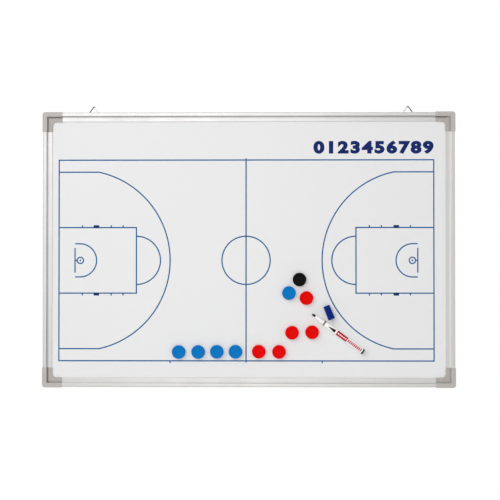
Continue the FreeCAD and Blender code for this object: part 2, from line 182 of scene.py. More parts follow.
world = bpy.data.worlds.new("studio")
world.use_nodes = True
scene.world = world
scene.view_settings.view_transform = "Standard"
sky = world.node_tree
sky.nodes.clear()
soft = add_node(sky, "ShaderNodeBackground", {"Color": srgb("#FFFFFF"), "Strength": AMBIENT})
white = add_node(sky, "ShaderNodeBackground", {"Color": srgb("#FFFFFF"), "Strength": 1.0})
both = add_node(sky, "ShaderNodeMixShader", {0: background_share(sky), 1: soft, 2: white})
add_node(sky, "ShaderNodeOutputWorld", {"Surface": both})
print("surround strength", AMBIENT)

# %% Soft boxes
def soft_box(name, place, side, watts):
    """Square area lamp that faces the middle of the board."""
    data = bpy.data.lights.new(name, "AREA")
    data.size = side
    data.energy = watts
    lamp = bpy.data.objects.new(name, data)
    lamp.location = place
    lamp.rotation_euler = (Vector(place) - board_middle).to_track_quat("Z", "Y").to_euler()
    lamp.visible_camera = False
    scene.collection.objects.link(lamp)


lamps = {
    # name: place in metres, side in metres, watts
    "key_box": ((-2.9, -3.3, 2.4), 3.4, 82),
    "sheen_box": ((-0.4, -3.05, 0.42), 1.45, 12.6),
    "low_box": ((-0.1, -3.05, -0.95), 1.3, 8.0),
    "fill_box": ((2.4, -2.2, 0.3), 1.6, 1.5),
    "back_box": ((1.2, 2.4, 1.1), 1.8, 36),
}
for name, (place, side, watts) in lamps.items():
    soft_box(name, place, side, watts)
print("lamps", list(lamps))

# %% [markdown]
# The board hangs, so the floor lies well below it and keeps its soft shadow there. Far from the board the
# floor turns to plain white for the rays that see the background, and so it has no visible edge.

# %% Floor
FLOOR_DROP = 0.45
FLOOR_RADIUS = 3.0
FLOOR_CLEAR = 0.35
FLOOR_FADE = 1.05
FLOOR_WHITE_NEAR = 0.45
FLOOR_SIDES = 64

floor_mesh = bpy.data.meshes.new("floor")
disc = bmesh.new()
floor_height = cad_box[0][2] - FLOOR_DROP
floor_place = Matrix.Translation((0, 0, floor_height))
bmesh.ops.create_circle(disc, cap_ends=True, segments=FLOOR_SIDES, radius=FLOOR_RADIUS, matrix=floor_place)
disc.to_mesh(floor_mesh)
disc.free()
floor = bpy.data.objects.new("floor", floor_mesh)
scene.collection.objects.link(floor)

floor_paint = bpy.data.materials.new("floor_paint")
floor_paint.use_nodes = True
ground = floor_paint.node_tree
ground.nodes.clear()
spot = add_node(ground, "ShaderNodeTexCoord").outputs["Object"]
flat = add_node(ground, "ShaderNodeVectorMath", {0: spot, 1: (1, 1, 0)}, operation="MULTIPLY")
away = add_node(ground, "ShaderNodeVectorMath", {0: flat}, operation="LENGTH")
fade = add_node(ground, "ShaderNodeMapRange", {
    "Value": away.outputs["Value"], "From Min": FLOOR_CLEAR, "From Max": FLOOR_FADE,
    "To Min": FLOOR_WHITE_NEAR,
}, interpolation_type="SMOOTHSTEP")
share = add_node(ground, "ShaderNodeMath", {0: background_share(ground), 1: fade}, operation="MULTIPLY")
matt = add_node(ground, "ShaderNodeBsdfDiffuse", {"Color": srgb("#F4F4F3")})
glow = add_node(ground, "ShaderNodeEmission", {"Color": srgb("#FFFFFF"), "Strength": 1.0})
both = add_node(ground, "ShaderNodeMixShader", {0: share, 1: matt, 2: glow})
add_node(ground, "ShaderNodeOutputMaterial", {"Surface": both})
floor_mesh.materials.append(floor_paint)
print("floor at", round(floor_height, 3))

# %% [markdown]
# Each finish starts from what the real surface is and how it was made. A small function opens a material,
# sets the values that are the same all over, and hands back its tree and the object's own coordinates.
# Every piece sits at the origin, so those coordinates are real places on the board, and a pattern keeps its
# size from piece to piece. A second function closes it, once its colour, gloss and bump are worked out.

# %% Opening, closing and using a material
def open_material(name, sockets):
    """New material: returns it with its tree and its object coordinates."""
    material = bpy.data.materials.new(name)
    material.use_nodes = True
    tree = material.node_tree
    for key, value in sockets.items():
        tree.nodes["Principled BSDF"].inputs[key].default_value = value
    place = add_node(tree, "ShaderNodeTexCoord").outputs["Object"]
    return material, tree, place


def close_material(material, tone, gloss, bump):
    """Link the nodes that work out the colour, the roughness and the bump to the shader."""
    tree = material.node_tree
    shader = tree.nodes["Principled BSDF"]
    tree.links.new(tone.outputs[MIX_COLOUR], shader.inputs["Base Color"])
    tree.links.new(gloss.outputs["Result"], shader.inputs["Roughness"])
    tree.links.new(bump.outputs["Normal"], shader.inputs["Normal"])
    print("finish", material.name, "nodes", len(tree.nodes))
    return material


def dress(material, *names):
    """Give CAD nodes this material in place of their own."""
    for name in names:
        mesh = nodes[name].data
        mesh.materials.clear()
        mesh.materials.append(material)


# %% [markdown]
# The face is steel sheet with a baked white lacquer. Roller coating leaves a very slight orange peel, and
# wiping leaves a haze that shows only where the gloss changes. So the colour hardly varies, while the
# roughness follows soft streaks a hand's breadth apart, drawn out along the wiping direction.

# %% Baked white lacquer
def baked_lacquer():
    material, tree, place = open_material("baked_white_lacquer", {"IOR": 1.5, "Specular IOR Level": 0.3})
    haze_place = add_node(tree, "ShaderNodeMapping", {
        "Vector": place, "Rotation": (0, math.radians(12), 0), "Scale": (0.45, 1, 1.6),
    })
    haze = add_node(tree, "ShaderNodeTexNoise", {
        "Vector": haze_place, "Scale": per_metre(120), "Detail": 4.0, "Roughness": 0.55,
    })
    tone = add_node(tree, "ShaderNodeMix", {
        0: haze, MIX_A: srgb("#E6E6E7"), MIX_B: srgb("#E8E8E8"),
    }, data_type="RGBA")
    gloss = add_node(tree, "ShaderNodeMapRange", {
        "Value": haze, "From Min": 0.3, "From Max": 0.7, "To Min": 0.28, "To Max": 0.34,
    })
    peel = add_node(tree, "ShaderNodeTexNoise", {"Vector": place, "Scale": per_metre(2.5), "Detail": 1.0})
    bump = add_node(tree, "ShaderNodeBump", {"Height": peel, "Strength": 0.25, "Distance": 0.01 * MM})
    return close_material(material, tone, gloss, bump)


dress(baked_lacquer(), "face_sheet")

# %% [markdown]
# All round the frame a raised rim steps down to a lip that holds the face. Rails and corner caps both get a
# thin line of painted shade in that inside corner, sharp against the rim and soft towards the face. The line
# lies at one distance in from the outer edge of the board, which is quickly worked out from the place of a
# point. The painted shade is heavier along the top and the left side, where the step turns away from the
# light: that is all on one side of the board's rising diagonal. The other side gets a lighter painted tone.

# %% Place on the frame, and the painted shade line in its step
STEP_LINE_RIM = 1.9 * MM
STEP_FRONT_DEPTH = 4.0 * MM


def place_on_frame(tree, place):
    """A point's way in from the outer edge, if it is on the front, and if it is below the diagonal."""
    centred = add_node(tree, "ShaderNodeVectorMath", {0: place, 1: board_middle}, operation="SUBTRACT")
    spread = add_node(tree, "ShaderNodeVectorMath", {0: centred}, operation="ABSOLUTE")
    inwards = add_node(tree, "ShaderNodeVectorMath", {
        0: (board_half_width, STEP_FRONT_DEPTH, board_half_height), 1: spread,
    }, operation="SUBTRACT")
    reach = add_node(tree, "ShaderNodeSeparateXYZ", {0: inwards}).outputs
    nearest = add_node(tree, "ShaderNodeMath", {0: reach["X"], 1: reach["Z"]}, operation="MINIMUM")
    front = add_node(tree, "ShaderNodeMath", {0: reach["Y"], 1: 0.0}, operation="GREATER_THAN")
    slope = add_node(tree, "ShaderNodeVectorMath", {
        0: centred, 1: (1 / board_half_width, 0, -1 / board_half_height),
    }, operation="DOT_PRODUCT")
    below = add_node(tree, "ShaderNodeMath", {0: slope.outputs["Value"], 1: 0.0}, operation="GREATER_THAN")
    return nearest, front, below


def painted_step_shade(tree, on_frame, tone, inset, fade, shadow_side_tone, light):
    """Paint shade along the step that lies this far in from the outer edge of the board: the shadow side
    tone on the top and left, the other tone on the right and bottom.
    """
    nearest, front, below = on_frame
    rising = add_node(tree, "ShaderNodeMapRange", {
        "Value": nearest, "From Min": inset - STEP_LINE_RIM, "From Max": inset,
    }, interpolation_type="SMOOTHSTEP")
    falling = add_node(tree, "ShaderNodeMapRange", {
        "Value": nearest, "From Min": inset, "From Max": inset + fade, "To Min": 1.0, "To Max": 0.0,
    }, interpolation_type="SMOOTHERSTEP")
    line = add_node(tree, "ShaderNodeMath", {0: rising, 1: falling}, operation="MULTIPLY")
    share = add_node(tree, "ShaderNodeMath", {0: line, 1: front}, operation="MULTIPLY")
    # Painted shade: the shadow side tone on the top and left, the lighter painted tone below the diagonal.
    step_shade_tone = add_node(tree, "ShaderNodeMix", {
        0: below, MIX_A: srgb(shadow_side_tone), MIX_B: srgb(light),
    }, data_type="RGBA")
    return add_node(tree, "ShaderNodeMix", {
        0: share, MIX_A: tone.outputs[MIX_COLOUR], MIX_B: step_shade_tone.outputs[MIX_COLOUR],
    }, data_type="RGBA")


# %% [markdown]
# The rails are extruded aluminium with a natural satin anodised skin. The die leaves fine lines along the
# bar, so the pattern is noise that is stretched hard along one axis: X for the long rails, Z for the short
# ones. The real lines are finer than the render can show, and are drawn about a millimetre apart.

# %% Satin anodised aluminium
RAIL_STEP_IN, RAIL_STEP_FADE = 9.2 * MM, 5.0 * MM
DRAWN_OUT = 0.004


def anodised_aluminium(name, along, light):
    material, tree, place = open_material(name, {"Metallic": 0.85})
    stretch = [1.0, 1.0, 1.0]
    stretch[along] = DRAWN_OUT
    drawn = add_node(tree, "ShaderNodeMapping", {"Vector": place, "Scale": tuple(stretch)})
    lines = add_node(tree, "ShaderNodeTexNoise", {
        "Vector": drawn, "Scale": per_metre(1.1), "Detail": 3.0, "Roughness": 0.6,
    })
    cloud = add_node(tree, "ShaderNodeTexNoise", {"Vector": place, "Scale": per_metre(60), "Detail": 2.0})
    tone = add_node(tree, "ShaderNodeMix", {
        0: lines, MIX_A: srgb("#B3B2B1"), MIX_B: srgb("#BFBEBD"),
    }, data_type="RGBA")
    worn = add_node(tree, "ShaderNodeMath", {0: lines, 1: cloud}, operation="MULTIPLY")
    gloss = add_node(tree, "ShaderNodeMapRange", {
        "Value": worn, "From Min": 0.1, "From Max": 0.45, "To Min": 0.30, "To Max": 0.42,
    })
    bump = add_node(tree, "ShaderNodeBump", {"Height": lines, "Strength": 0.3, "Distance": 0.03 * MM})
    on_frame = place_on_frame(tree, place)
    # Painted shade along the rail's step; on the right rail its lighter tone is a painted highlight.
    skin = painted_step_shade(tree, on_frame, tone, RAIL_STEP_IN, RAIL_STEP_FADE, "#908E8D", light)
    return close_material(material, skin, gloss, bump)


ALONG_X, ALONG_Z = 0, 2
# The last colour is the painted tone of the step on the bottom and right rails: faint painted shade on the
# bottom, a painted highlight on the right.
dress(anodised_aluminium("anodised_aluminium_long", ALONG_X, "#B4B3B2"), "rail_top", "rail_bottom")
dress(anodised_aluminium("anodised_aluminium_short", ALONG_Z, "#CFCECD"), "rail_left", "rail_right")

# %% [markdown]
# The corner caps are moulded ABS in a warm grey. A mould for such a part is spark eroded, which gives a
# fine even grain, drawn coarser here so that it shows. The plastic flows in from the outer corner and cools
# in faint clouds. The recessed lip is tinted a little darker and browner than the rim, and the step gets the
# same painted shade line as the rails, dark on every side and darkest on the top and left.

# %% Moulded grey ABS
CAP_STEP_IN, CAP_STEP_FADE = 10.1 * MM, 4.5 * MM
LIP_BROWN = "#F2EFEC"


def moulded_abs():
    material, tree, place = open_material("moulded_grey_abs", {"IOR": 1.54})
    cloud = add_node(tree, "ShaderNodeTexNoise", {"Vector": place, "Scale": per_metre(14), "Detail": 3.0})
    tone = add_node(tree, "ShaderNodeMix", {
        0: cloud, MIX_A: srgb("#ADA9A5"), MIX_B: srgb("#BBB7B4"),
    }, data_type="RGBA")
    grain = add_node(tree, "ShaderNodeTexNoise", {"Vector": place, "Scale": per_metre(0.7), "Detail": 2.0})
    gloss = add_node(tree, "ShaderNodeMapRange", {"Value": grain, "To Min": 0.36, "To Max": 0.5})
    bump = add_node(tree, "ShaderNodeBump", {"Height": grain, "Strength": 0.35, "Distance": 0.04 * MM})
    on_frame = place_on_frame(tree, place)
    nearest, front = on_frame[:2]
    # The recessed lip is tinted a little darker and browner than the rim.
    lip = add_node(tree, "ShaderNodeMath", {0: nearest, 1: CAP_STEP_IN}, operation="GREATER_THAN")
    lip_front_share = add_node(tree, "ShaderNodeMath", {0: lip, 1: front}, operation="MULTIPLY")
    lip_tinted = add_node(tree, "ShaderNodeMix", {
        0: lip_front_share, MIX_A: tone.outputs[MIX_COLOUR], MIX_B: srgb(LIP_BROWN),
    }, data_type="RGBA", blend_type="MULTIPLY")
    # Painted shade along the step, dark on every side and darkest on the top and left.
    skin = painted_step_shade(tree, on_frame, lip_tinted, CAP_STEP_IN, CAP_STEP_FADE, "#5E5A57", "#94908D")
    return close_material(material, skin, gloss, bump)


corner_nodes = [name for name in nodes if name.startswith("corner_cap_")]
dress(moulded_abs(), *corner_nodes)
print("corner caps", corner_nodes)

# %% [markdown]
# Small steel parts are zinc plated. The plating is bright but patchy, with a cool cast here and a warm
# one there, in spots of a few millimetres. The hanger rings are drawn wire without plating, with draw marks
# that turn to plain mottling at this scale. Their tone is painted light and shade: the outer leg of each
# ring keeps a dark painted reflection, and the inner leg gets a painted highlight, brighter on the left
# ring, so the tone also follows the distance out from the middle of the ring.

# %% Zinc plate and drawn wire
GLINT_FADE = 4.0 * MM


def patchy_steel(name, cool, warm, patch_mm, smooth, rough, painted_glint=None):
    """Steel with patches of two tones. Wire with a painted highlight also names its bright tone and the
    middle of its ring.
    """
    material, tree, place = open_material(name, {"Metallic": 1.0})
    patch = add_node(tree, "ShaderNodeTexNoise", {
        "Vector": place, "Scale": per_metre(patch_mm), "Detail": 3.0, "Roughness": 0.6,
    })
    tone = add_node(tree, "ShaderNodeMix", {
        0: patch, MIX_A: srgb(cool), MIX_B: srgb(warm),
    }, data_type="RGBA")
    gloss = add_node(tree, "ShaderNodeMapRange", {
        "Value": patch, "From Min": 0.3, "From Max": 0.7, "To Min": smooth, "To Max": rough,
    })
    bump = add_node(tree, "ShaderNodeBump", {"Height": patch, "Strength": 0.2, "Distance": 0.05 * MM})
    # Painted highlight on the inner leg of a ring, fading out over a few millimetres.
    if painted_glint:
        bright, middle = painted_glint
        across = add_node(tree, "ShaderNodeSeparateXYZ", {0: place}).outputs["X"]
        inner = add_node(tree, "ShaderNodeMapRange", {
            "Value": across, "From Min": middle, "From Max": middle - math.copysign(GLINT_FADE, middle),
        }, interpolation_type="SMOOTHSTEP")
        tone = add_node(tree, "ShaderNodeMix", {
            0: inner, MIX_A: tone.outputs[MIX_COLOUR], MIX_B: srgb(bright),
        }, data_type="RGBA")
    return close_material(material, tone, gloss, bump)


zinc = patchy_steel("zinc_plated_steel", "#B9BEC2", "#C4C1B4", patch_mm=5, smooth=0.24, rough=0.42)
dress(zinc, "corner_screws", "hanger_screws", "hanger_strap_left", "hanger_strap_right")
# Lit and shaded copies of one wire: the painted highlight is brighter on the left ring.
for side, bright in (("left", "#D6D6D0"), ("right", "#ADADA6")):
    ring_node = "hanger_ring_" + side
    ring_low, ring_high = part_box(ring_node)
    painted_glint = (bright, (ring_low.x + ring_high.x) / 2)
    wire = patchy_steel(
        "drawn_steel_wire_" + side, "#3A3B37", "#4E4F49", patch_mm=3, smooth=0.24, rough=0.38, painted_glint=painted_glint)
    dress(wire, ring_node)

# %% [markdown]
# The rear of the panel is hot-dip galvanised sheet. Zinc freezes into flat crystals, the spangle, and each
# crystal reflects a little differently. Voronoi cells are that pattern: one random value for each cell
# sets its tone and its roughness. The core between the sheets is raw fibreboard.

# %% Galvanised spangle and fibreboard
SPANGLE_FLATTEN = 0.02
SPANGLE_WANDER = Vector((6, 6, 6)) * MM


def galvanised_spangle():
    material, tree, place = open_material("galvanised_spangle", {"Metallic": 1.0})
    flat_place = add_node(tree, "ShaderNodeMapping", {"Vector": place, "Scale": (1, SPANGLE_FLATTEN, 1)})
    wander = add_node(tree, "ShaderNodeTexNoise", {
        "Vector": flat_place, "Scale": per_metre(7), "Detail": 2.0,
    })
    bent = add_node(tree, "ShaderNodeVectorMath", {
        0: wander.outputs["Color"], 1: SPANGLE_WANDER, 2: flat_place,
    }, operation="MULTIPLY_ADD")
    crystal = add_node(tree, "ShaderNodeTexVoronoi", {"Vector": bent, "Scale": per_metre(9)})
    shade = add_node(tree, "ShaderNodeSeparateColor", {"Color": crystal.outputs["Color"]}).outputs
    tone = add_node(tree, "ShaderNodeMix", {
        0: shade["Red"], MIX_A: srgb("#B2B5B7"), MIX_B: srgb("#C2C4C5"),
    }, data_type="RGBA")
    gloss = add_node(tree, "ShaderNodeMapRange", {"Value": shade["Green"], "To Min": 0.36, "To Max": 0.5})
    relief = add_node(tree, "ShaderNodeBump", {
        "Height": crystal.outputs["Distance"], "Strength": 0.1, "Distance": 0.03 * MM,
    })
    return close_material(material, tone, gloss, relief)


def raw_fibreboard():
    material, tree, place = open_material("raw_fibreboard", {"IOR": 1.5})
    fibre_place = add_node(tree, "ShaderNodeMapping", {"Vector": place, "Scale": (0.3, 1, 1)})
    fibre = add_node(tree, "ShaderNodeTexNoise", {
        "Vector": fibre_place, "Scale": per_metre(1.5), "Detail": 4.0,
    })
    tone = add_node(tree, "ShaderNodeMix", {
        0: fibre, MIX_A: srgb("#8A6A48"), MIX_B: srgb("#B8935F"),
    }, data_type="RGBA")
    gloss = add_node(tree, "ShaderNodeMapRange", {"Value": fibre, "To Min": 0.78, "To Max": 0.92})
    bump = add_node(tree, "ShaderNodeBump", {"Height": fibre, "Strength": 0.4, "Distance": 0.1 * MM})
    return close_material(material, tone, gloss, bump)


dress(galvanised_spangle(), "rear_sheet")
dress(raw_fibreboard(), "core")

# %% [markdown]
# The magnets are moulded polystyrene discs with a ferrite core. The mould is polished, so the gloss is
# even, with a slight ripple where the skin shrank over the core, and a faint cloud in the pigment.

# %% Coloured polystyrene and ferrite
def moulded_polystyrene(name, deep, light):
    material, tree, place = open_material(name, {"IOR": 1.55, "Specular IOR Level": 0.03})
    cloud = add_node(tree, "ShaderNodeTexNoise", {"Vector": place, "Scale": per_metre(9), "Detail": 3.0})
    tone = add_node(tree, "ShaderNodeMix", {
        0: cloud, MIX_A: srgb(deep), MIX_B: srgb(light),
    }, data_type="RGBA")
    gloss = add_node(tree, "ShaderNodeMapRange", {"Value": cloud, "To Min": 0.3, "To Max": 0.42})
    ripple = add_node(tree, "ShaderNodeTexNoise", {"Vector": place, "Scale": per_metre(4), "Detail": 1.0})
    bump = add_node(tree, "ShaderNodeBump", {"Height": ripple, "Strength": 0.15, "Distance": 0.05 * MM})
    return close_material(material, tone, gloss, bump)


def sintered_ferrite():
    material, tree, place = open_material("sintered_ferrite", {"Metallic": 0.2})
    grain = add_node(tree, "ShaderNodeTexNoise", {"Vector": place, "Scale": per_metre(0.6), "Detail": 3.0})
    tone = add_node(tree, "ShaderNodeMix", {
        0: grain, MIX_A: srgb("#232323"), MIX_B: srgb("#3A3937"),
    }, data_type="RGBA")
    gloss = add_node(tree, "ShaderNodeMapRange", {"Value": grain, "To Min": 0.55, "To Max": 0.8})
    bump = add_node(tree, "ShaderNodeBump", {"Height": grain, "Strength": 0.3, "Distance": 0.03 * MM})
    return close_material(material, tone, gloss, bump)


magnet_finishes = {
    "red": moulded_polystyrene("red_polystyrene", "#DE0201", "#E70403"),
    "blue": moulded_polystyrene("blue_polystyrene", "#066EBA", "#087CC6"),
    "black": moulded_polystyrene("black_polystyrene", "#080808", "#0E0F0E"),
}
magnets = [name for name in frame["bodies"] if name.startswith("magnet_")]
for colour, finish in magnet_finishes.items():
    dress(finish, *[name + "_cap" for name in magnets if colour in name])
dress(sintered_ferrite(), *[name + "_ferrite" for name in magnets])
print("magnets", magnets)

# %% [markdown]
# The marker lies askew, so its finishes and its print need its axis. It is read from the frame: the nib and
# the end plug are turned parts, so the middles of their skins lie on it.

# %% The marker's axis
def middle_of(name):
    """Middle of a turned part's skin, each face weighed by its area."""
    faces = nodes[name].data.polygons
    return sum((f.center * f.area for f in faces), Vector()) / sum(f.area for f in faces)


marker_axis = (middle_of("marker_end_plug") - middle_of("marker_nib")).normalized()
nib_middle = middle_of("marker_nib")
nib_reach = min((v.co - nib_middle).dot(marker_axis) for v in nodes["marker_nib"].data.vertices)
marker_tip = nib_middle + marker_axis * nib_reach
barrel_points = [v.co - marker_tip for v in nodes["marker_barrel"].data.vertices]
barrel_radius = max((p - marker_axis * p.dot(marker_axis)).length for p in barrel_points)
towards_viewer = Vector((0, -1, 0))
across_marker = marker_axis.cross(towards_viewer).normalized()
marker_frame = Matrix((marker_axis, towards_viewer, across_marker)).transposed().to_4x4()
marker_frame.translation = marker_tip
print("marker tip", [round(c, 4) for c in marker_tip], "barrel radius", round(barrel_radius, 5))

# %% [markdown]
# The marker is blown and moulded polypropylene, waxy and fairly glossy, in white and navy. Round the groove
# behind the nose, the white gets a band of painted grey-brown shade. The nib is pressed felt:
# matt, dark with ink and rough with fibre ends, which are drawn coarser than they are.

# %% Polypropylene and felt
GROOVE_SHADE_MIDDLE, GROOVE_SHADE_HALF = 33.0 * MM, 2.9 * MM


def painted_groove_shade(tree, place, tone):
    """Paint grey-brown shade in a band round the marker, at the groove behind the nose."""
    from_tip = add_node(tree, "ShaderNodeVectorMath", {0: place, 1: marker_tip}, operation="SUBTRACT")
    along = add_node(tree, "ShaderNodeVectorMath", {0: from_tip, 1: marker_axis}, operation="DOT_PRODUCT")
    off = add_node(tree, "ShaderNodeMath", {0: along.outputs["Value"], 1: GROOVE_SHADE_MIDDLE}, operation="SUBTRACT")
    gap = add_node(tree, "ShaderNodeMath", {0: off}, operation="ABSOLUTE")
    band = add_node(tree, "ShaderNodeMapRange", {
        "Value": gap, "From Min": GROOVE_SHADE_HALF / 2, "From Max": GROOVE_SHADE_HALF, "To Min": 1.0, "To Max": 0.0,
    }, interpolation_type="SMOOTHSTEP")
    patchy = add_node(tree, "ShaderNodeTexNoise", {"Vector": place, "Scale": per_metre(3), "Detail": 2.0})
    shade_cover = add_node(tree, "ShaderNodeMapRange", {
        "Value": patchy, "From Min": 0.3, "From Max": 0.6, "To Min": 0.6, "To Max": 1.0,
    })
    share = add_node(tree, "ShaderNodeMath", {0: band, 1: shade_cover}, operation="MULTIPLY")
    return add_node(tree, "ShaderNodeMix", {
        0: share, MIX_A: tone.outputs[MIX_COLOUR], MIX_B: srgb("#9A847B"),
    }, data_type="RGBA")


def polypropylene(name, deep, light, smooth, rough, shine, groove_shade=False):
    material, tree, place = open_material(name, {"IOR": 1.49, "Specular IOR Level": shine})
    cloud = add_node(tree, "ShaderNodeTexNoise", {"Vector": place, "Scale": per_metre(8), "Detail": 2.0})
    tone = add_node(tree, "ShaderNodeMix", {
        0: cloud, MIX_A: srgb(deep), MIX_B: srgb(light),
    }, data_type="RGBA")
    gloss = add_node(tree, "ShaderNodeMapRange", {"Value": cloud, "To Min": smooth, "To Max": rough})
    ripple = add_node(tree, "ShaderNodeTexNoise", {"Vector": place, "Scale": per_metre(2), "Detail": 1.0})
    bump = add_node(tree, "ShaderNodeBump", {"Height": ripple, "Strength": 0.15, "Distance": 0.04 * MM})
    # Painted shade round the groove behind the nose.
    if groove_shade:
        tone = painted_groove_shade(tree, place, tone)
    return close_material(material, tone, gloss, bump)


def pressed_felt(name, deep, light):
    material, tree, place = open_material(name, {"Sheen Weight": 0.04})
    fibre = add_node(tree, "ShaderNodeTexNoise", {"Vector": place, "Scale": per_metre(0.5), "Detail": 4.0})
    tone = add_node(tree, "ShaderNodeMix", {
        0: fibre, MIX_A: srgb(deep), MIX_B: srgb(light),
    }, data_type="RGBA")
    gloss = add_node(tree, "ShaderNodeMapRange", {"Value": fibre, "To Min": 0.9, "To Max": 1.0})
    bump = add_node(tree, "ShaderNodeBump", {"Height": fibre, "Strength": 0.6, "Distance": 0.1 * MM})
    return close_material(material, tone, gloss, bump)


marker_white = polypropylene(
    "white_polypropylene", "#FBFBFA", "#FDFDFC", smooth=0.22, rough=0.32, shine=0.5, groove_shade=True)
marker_navy = polypropylene("navy_polypropylene", "#04226F", "#062A84", smooth=0.3, rough=0.42, shine=0.05)
marker_plug = polypropylene(
    "dark_navy_polypropylene", "#120B30", "#1B1240", smooth=0.3, rough=0.42, shine=0.08)
dress(marker_white, "marker_nose", "marker_barrel")
dress(marker_navy, "marker_cap")
dress(marker_plug, "marker_end_plug")
dress(pressed_felt("bonded_ink_fibre", "#11143A", "#23285C"), "marker_reservoir")

# %% [markdown]
# The construction has a new, pointed nib. On this marker the felt is worn to a blunt stub, so a turned
# stub stands in its place: as long, on the same axis, and as thick where it enters the nose. A turned part
# is a stack of rings, each joined to the next by a band of faces. Both ends are closed.

# %% Worn nib
STUB_RINGS_MM = ((0.0, 1.1), (0.15, 1.5), (0.55, 1.8), (1.2, 1.95), (4.2, 2.4))
STUB_SIDES = 32

stem_end = max((v.co - marker_tip).dot(marker_axis) for v in nodes["marker_nib"].data.vertices)
stub_profile = [(reach * MM, radius * MM) for reach, radius in STUB_RINGS_MM]
stub_profile.append((stem_end, stub_profile[-1][1]))
stub = bmesh.new()
rings = []
for reach, radius in stub_profile:
    turns = [math.tau * i / STUB_SIDES for i in range(STUB_SIDES)]
    rings.append([stub.verts.new((reach, radius * math.cos(t), radius * math.sin(t))) for t in turns])
for first, second in zip(rings, rings[1:]):
    for i in range(STUB_SIDES):
        stub.faces.new((first[i - 1], first[i], second[i], second[i - 1])).smooth = True
stub.faces.new(rings[0])
stub.faces.new(rings[-1])
bmesh.ops.recalc_face_normals(stub, faces=stub.faces)
stub_mesh = bpy.data.meshes.new("marker_worn_nib")
stub.to_mesh(stub_mesh)
stub.free()
stub_mesh.transform(marker_frame)
stub_mesh.materials.append(pressed_felt("inked_felt", "#020203", "#060607"))
worn_nib = bpy.data.objects.new("marker_worn_nib", stub_mesh)
scene.collection.objects.link(worn_nib)
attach(worn_nib, "marker")
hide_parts("marker_nib")
print("worn nib, length", round(stem_end, 4), "faces", len(stub_mesh.polygons))

# %% [markdown]
# Everything printed is screen ink: a thin film with a soft gloss and a slightly uneven cover. The threads
# of the screen leave a faint grain, drawn coarser than it is, because the real one is too fine to show.
# The ink is real geometry, less than a tenth of a millimetre thick, so it stays sharp.

# %% Screen ink
def screen_ink(name, deep, light):
    material, tree, place = open_material(name, {"IOR": 1.5, "Specular IOR Level": 0.1})
    cover = add_node(tree, "ShaderNodeTexNoise", {"Vector": place, "Scale": per_metre(6), "Detail": 3.0})
    tone = add_node(tree, "ShaderNodeMix", {
        0: cover, MIX_A: srgb(deep), MIX_B: srgb(light),
    }, data_type="RGBA")
    gloss = add_node(tree, "ShaderNodeMapRange", {"Value": cover, "To Min": 0.36, "To Max": 0.5})
    grain = add_node(tree, "ShaderNodeTexNoise", {"Vector": place, "Scale": per_metre(0.8), "Detail": 1.0})
    bump = add_node(tree, "ShaderNodeBump", {"Height": grain, "Strength": 0.2, "Distance": 0.01 * MM})
    return close_material(material, tone, gloss, bump)


court_ink = screen_ink("blue_screen_ink", "#075C95", "#09649D")
block_ink = screen_ink("dense_blue_screen_ink", "#043060", "#063668")
figure_ink = screen_ink("navy_screen_ink", "#051F60", "#09276C")
red_ink = screen_ink("red_screen_ink", "#B4081A", "#C2101F")
black_ink = screen_ink("black_screen_ink", "#070707", "#0D0D0E")
white_ink = screen_ink("white_screen_ink", "#F0EFED", "#F6F5F3")

# %% [markdown]
# Geometry trees make what repeats or follows a path. A tree gets one named input for each size, and one
# output. To use it, an empty mesh carries it as a modifier, each input is set by its socket's identifier,
# and the evaluated result is kept as a plain mesh, which then rides on a body of the board.

# %% Starting and running a geometry tree
def start_tree(title, sizes):
    """New geometry tree with a named float input for each size: returns it and its inputs."""
    tree = bpy.data.node_groups.new(title, "GeometryNodeTree")
    tree.interface.new_socket("Geometry", in_out="OUTPUT", socket_type="NodeSocketGeometry")
    for size in sizes:
        tree.interface.new_socket(size, in_out="INPUT", socket_type="NodeSocketFloat")
    return tree, add_node(tree, "NodeGroupInput").outputs


def close_tree(tree, shape, material):
    """End a tree: real geometry in place of instances, then the material."""
    real = add_node(tree, "GeometryNodeRealizeInstances", {"Geometry": shape})
    coated = add_node(tree, "GeometryNodeSetMaterial", {"Geometry": real, "Material": material})
    add_node(tree, "NodeGroupOutput", {"Geometry": coated})


def run_tree(tree, name, sizes):
    """Run a tree once with these sizes and keep the result as a plain mesh object."""
    piece = bpy.data.objects.new(name, bpy.data.meshes.new(name))
    scene.collection.objects.link(piece)
    modifier = piece.modifiers.new(tree.name, "NODES")
    modifier.node_group = tree
    for socket in tree.interface.items_tree:
        if socket.in_out == "INPUT":
            modifier[socket.identifier] = sizes[socket.name]
    evaluated = piece.evaluated_get(bpy.context.evaluated_depsgraph_get())
    mesh = bpy.data.meshes.new_from_object(evaluated)
    piece.modifiers.remove(modifier)
    piece.data = mesh
    print(name, "faces", len(mesh.polygons))
    return piece


# %% [markdown]
# The court on the face is the standard playing court, 28 by 15 metres, drawn to scale. Its lines are
# written in court metres from the middle of the court. One half is drawn as straight runs and arcs, swept
# with a flat ink section, and the other half is the same half turned round.
# Runs overlap by nearly half a line at their ends, so that corners come out square. Where films overlap,
# two faces would lie in one plane and flicker, so a boolean union melts all the lines into one film. The
# ends stop a hair short of the next line's far edge, because edges that fall together leave slivers.

# %% Sizes of the printed court
COURT_SCALE = 0.02926
COURT_MIDDLE = (-5.4 * MM, -23.6 * MM)
LINE_WIDTH = 2.8 * MM
INK_FILM = 0.06 * MM
INK_BED = 0.01 * MM
ARC_STEPS, RIM_STEPS, DOT_SIDES = 64, 32, 24
END_OVERLAP_SHARE = 0.48

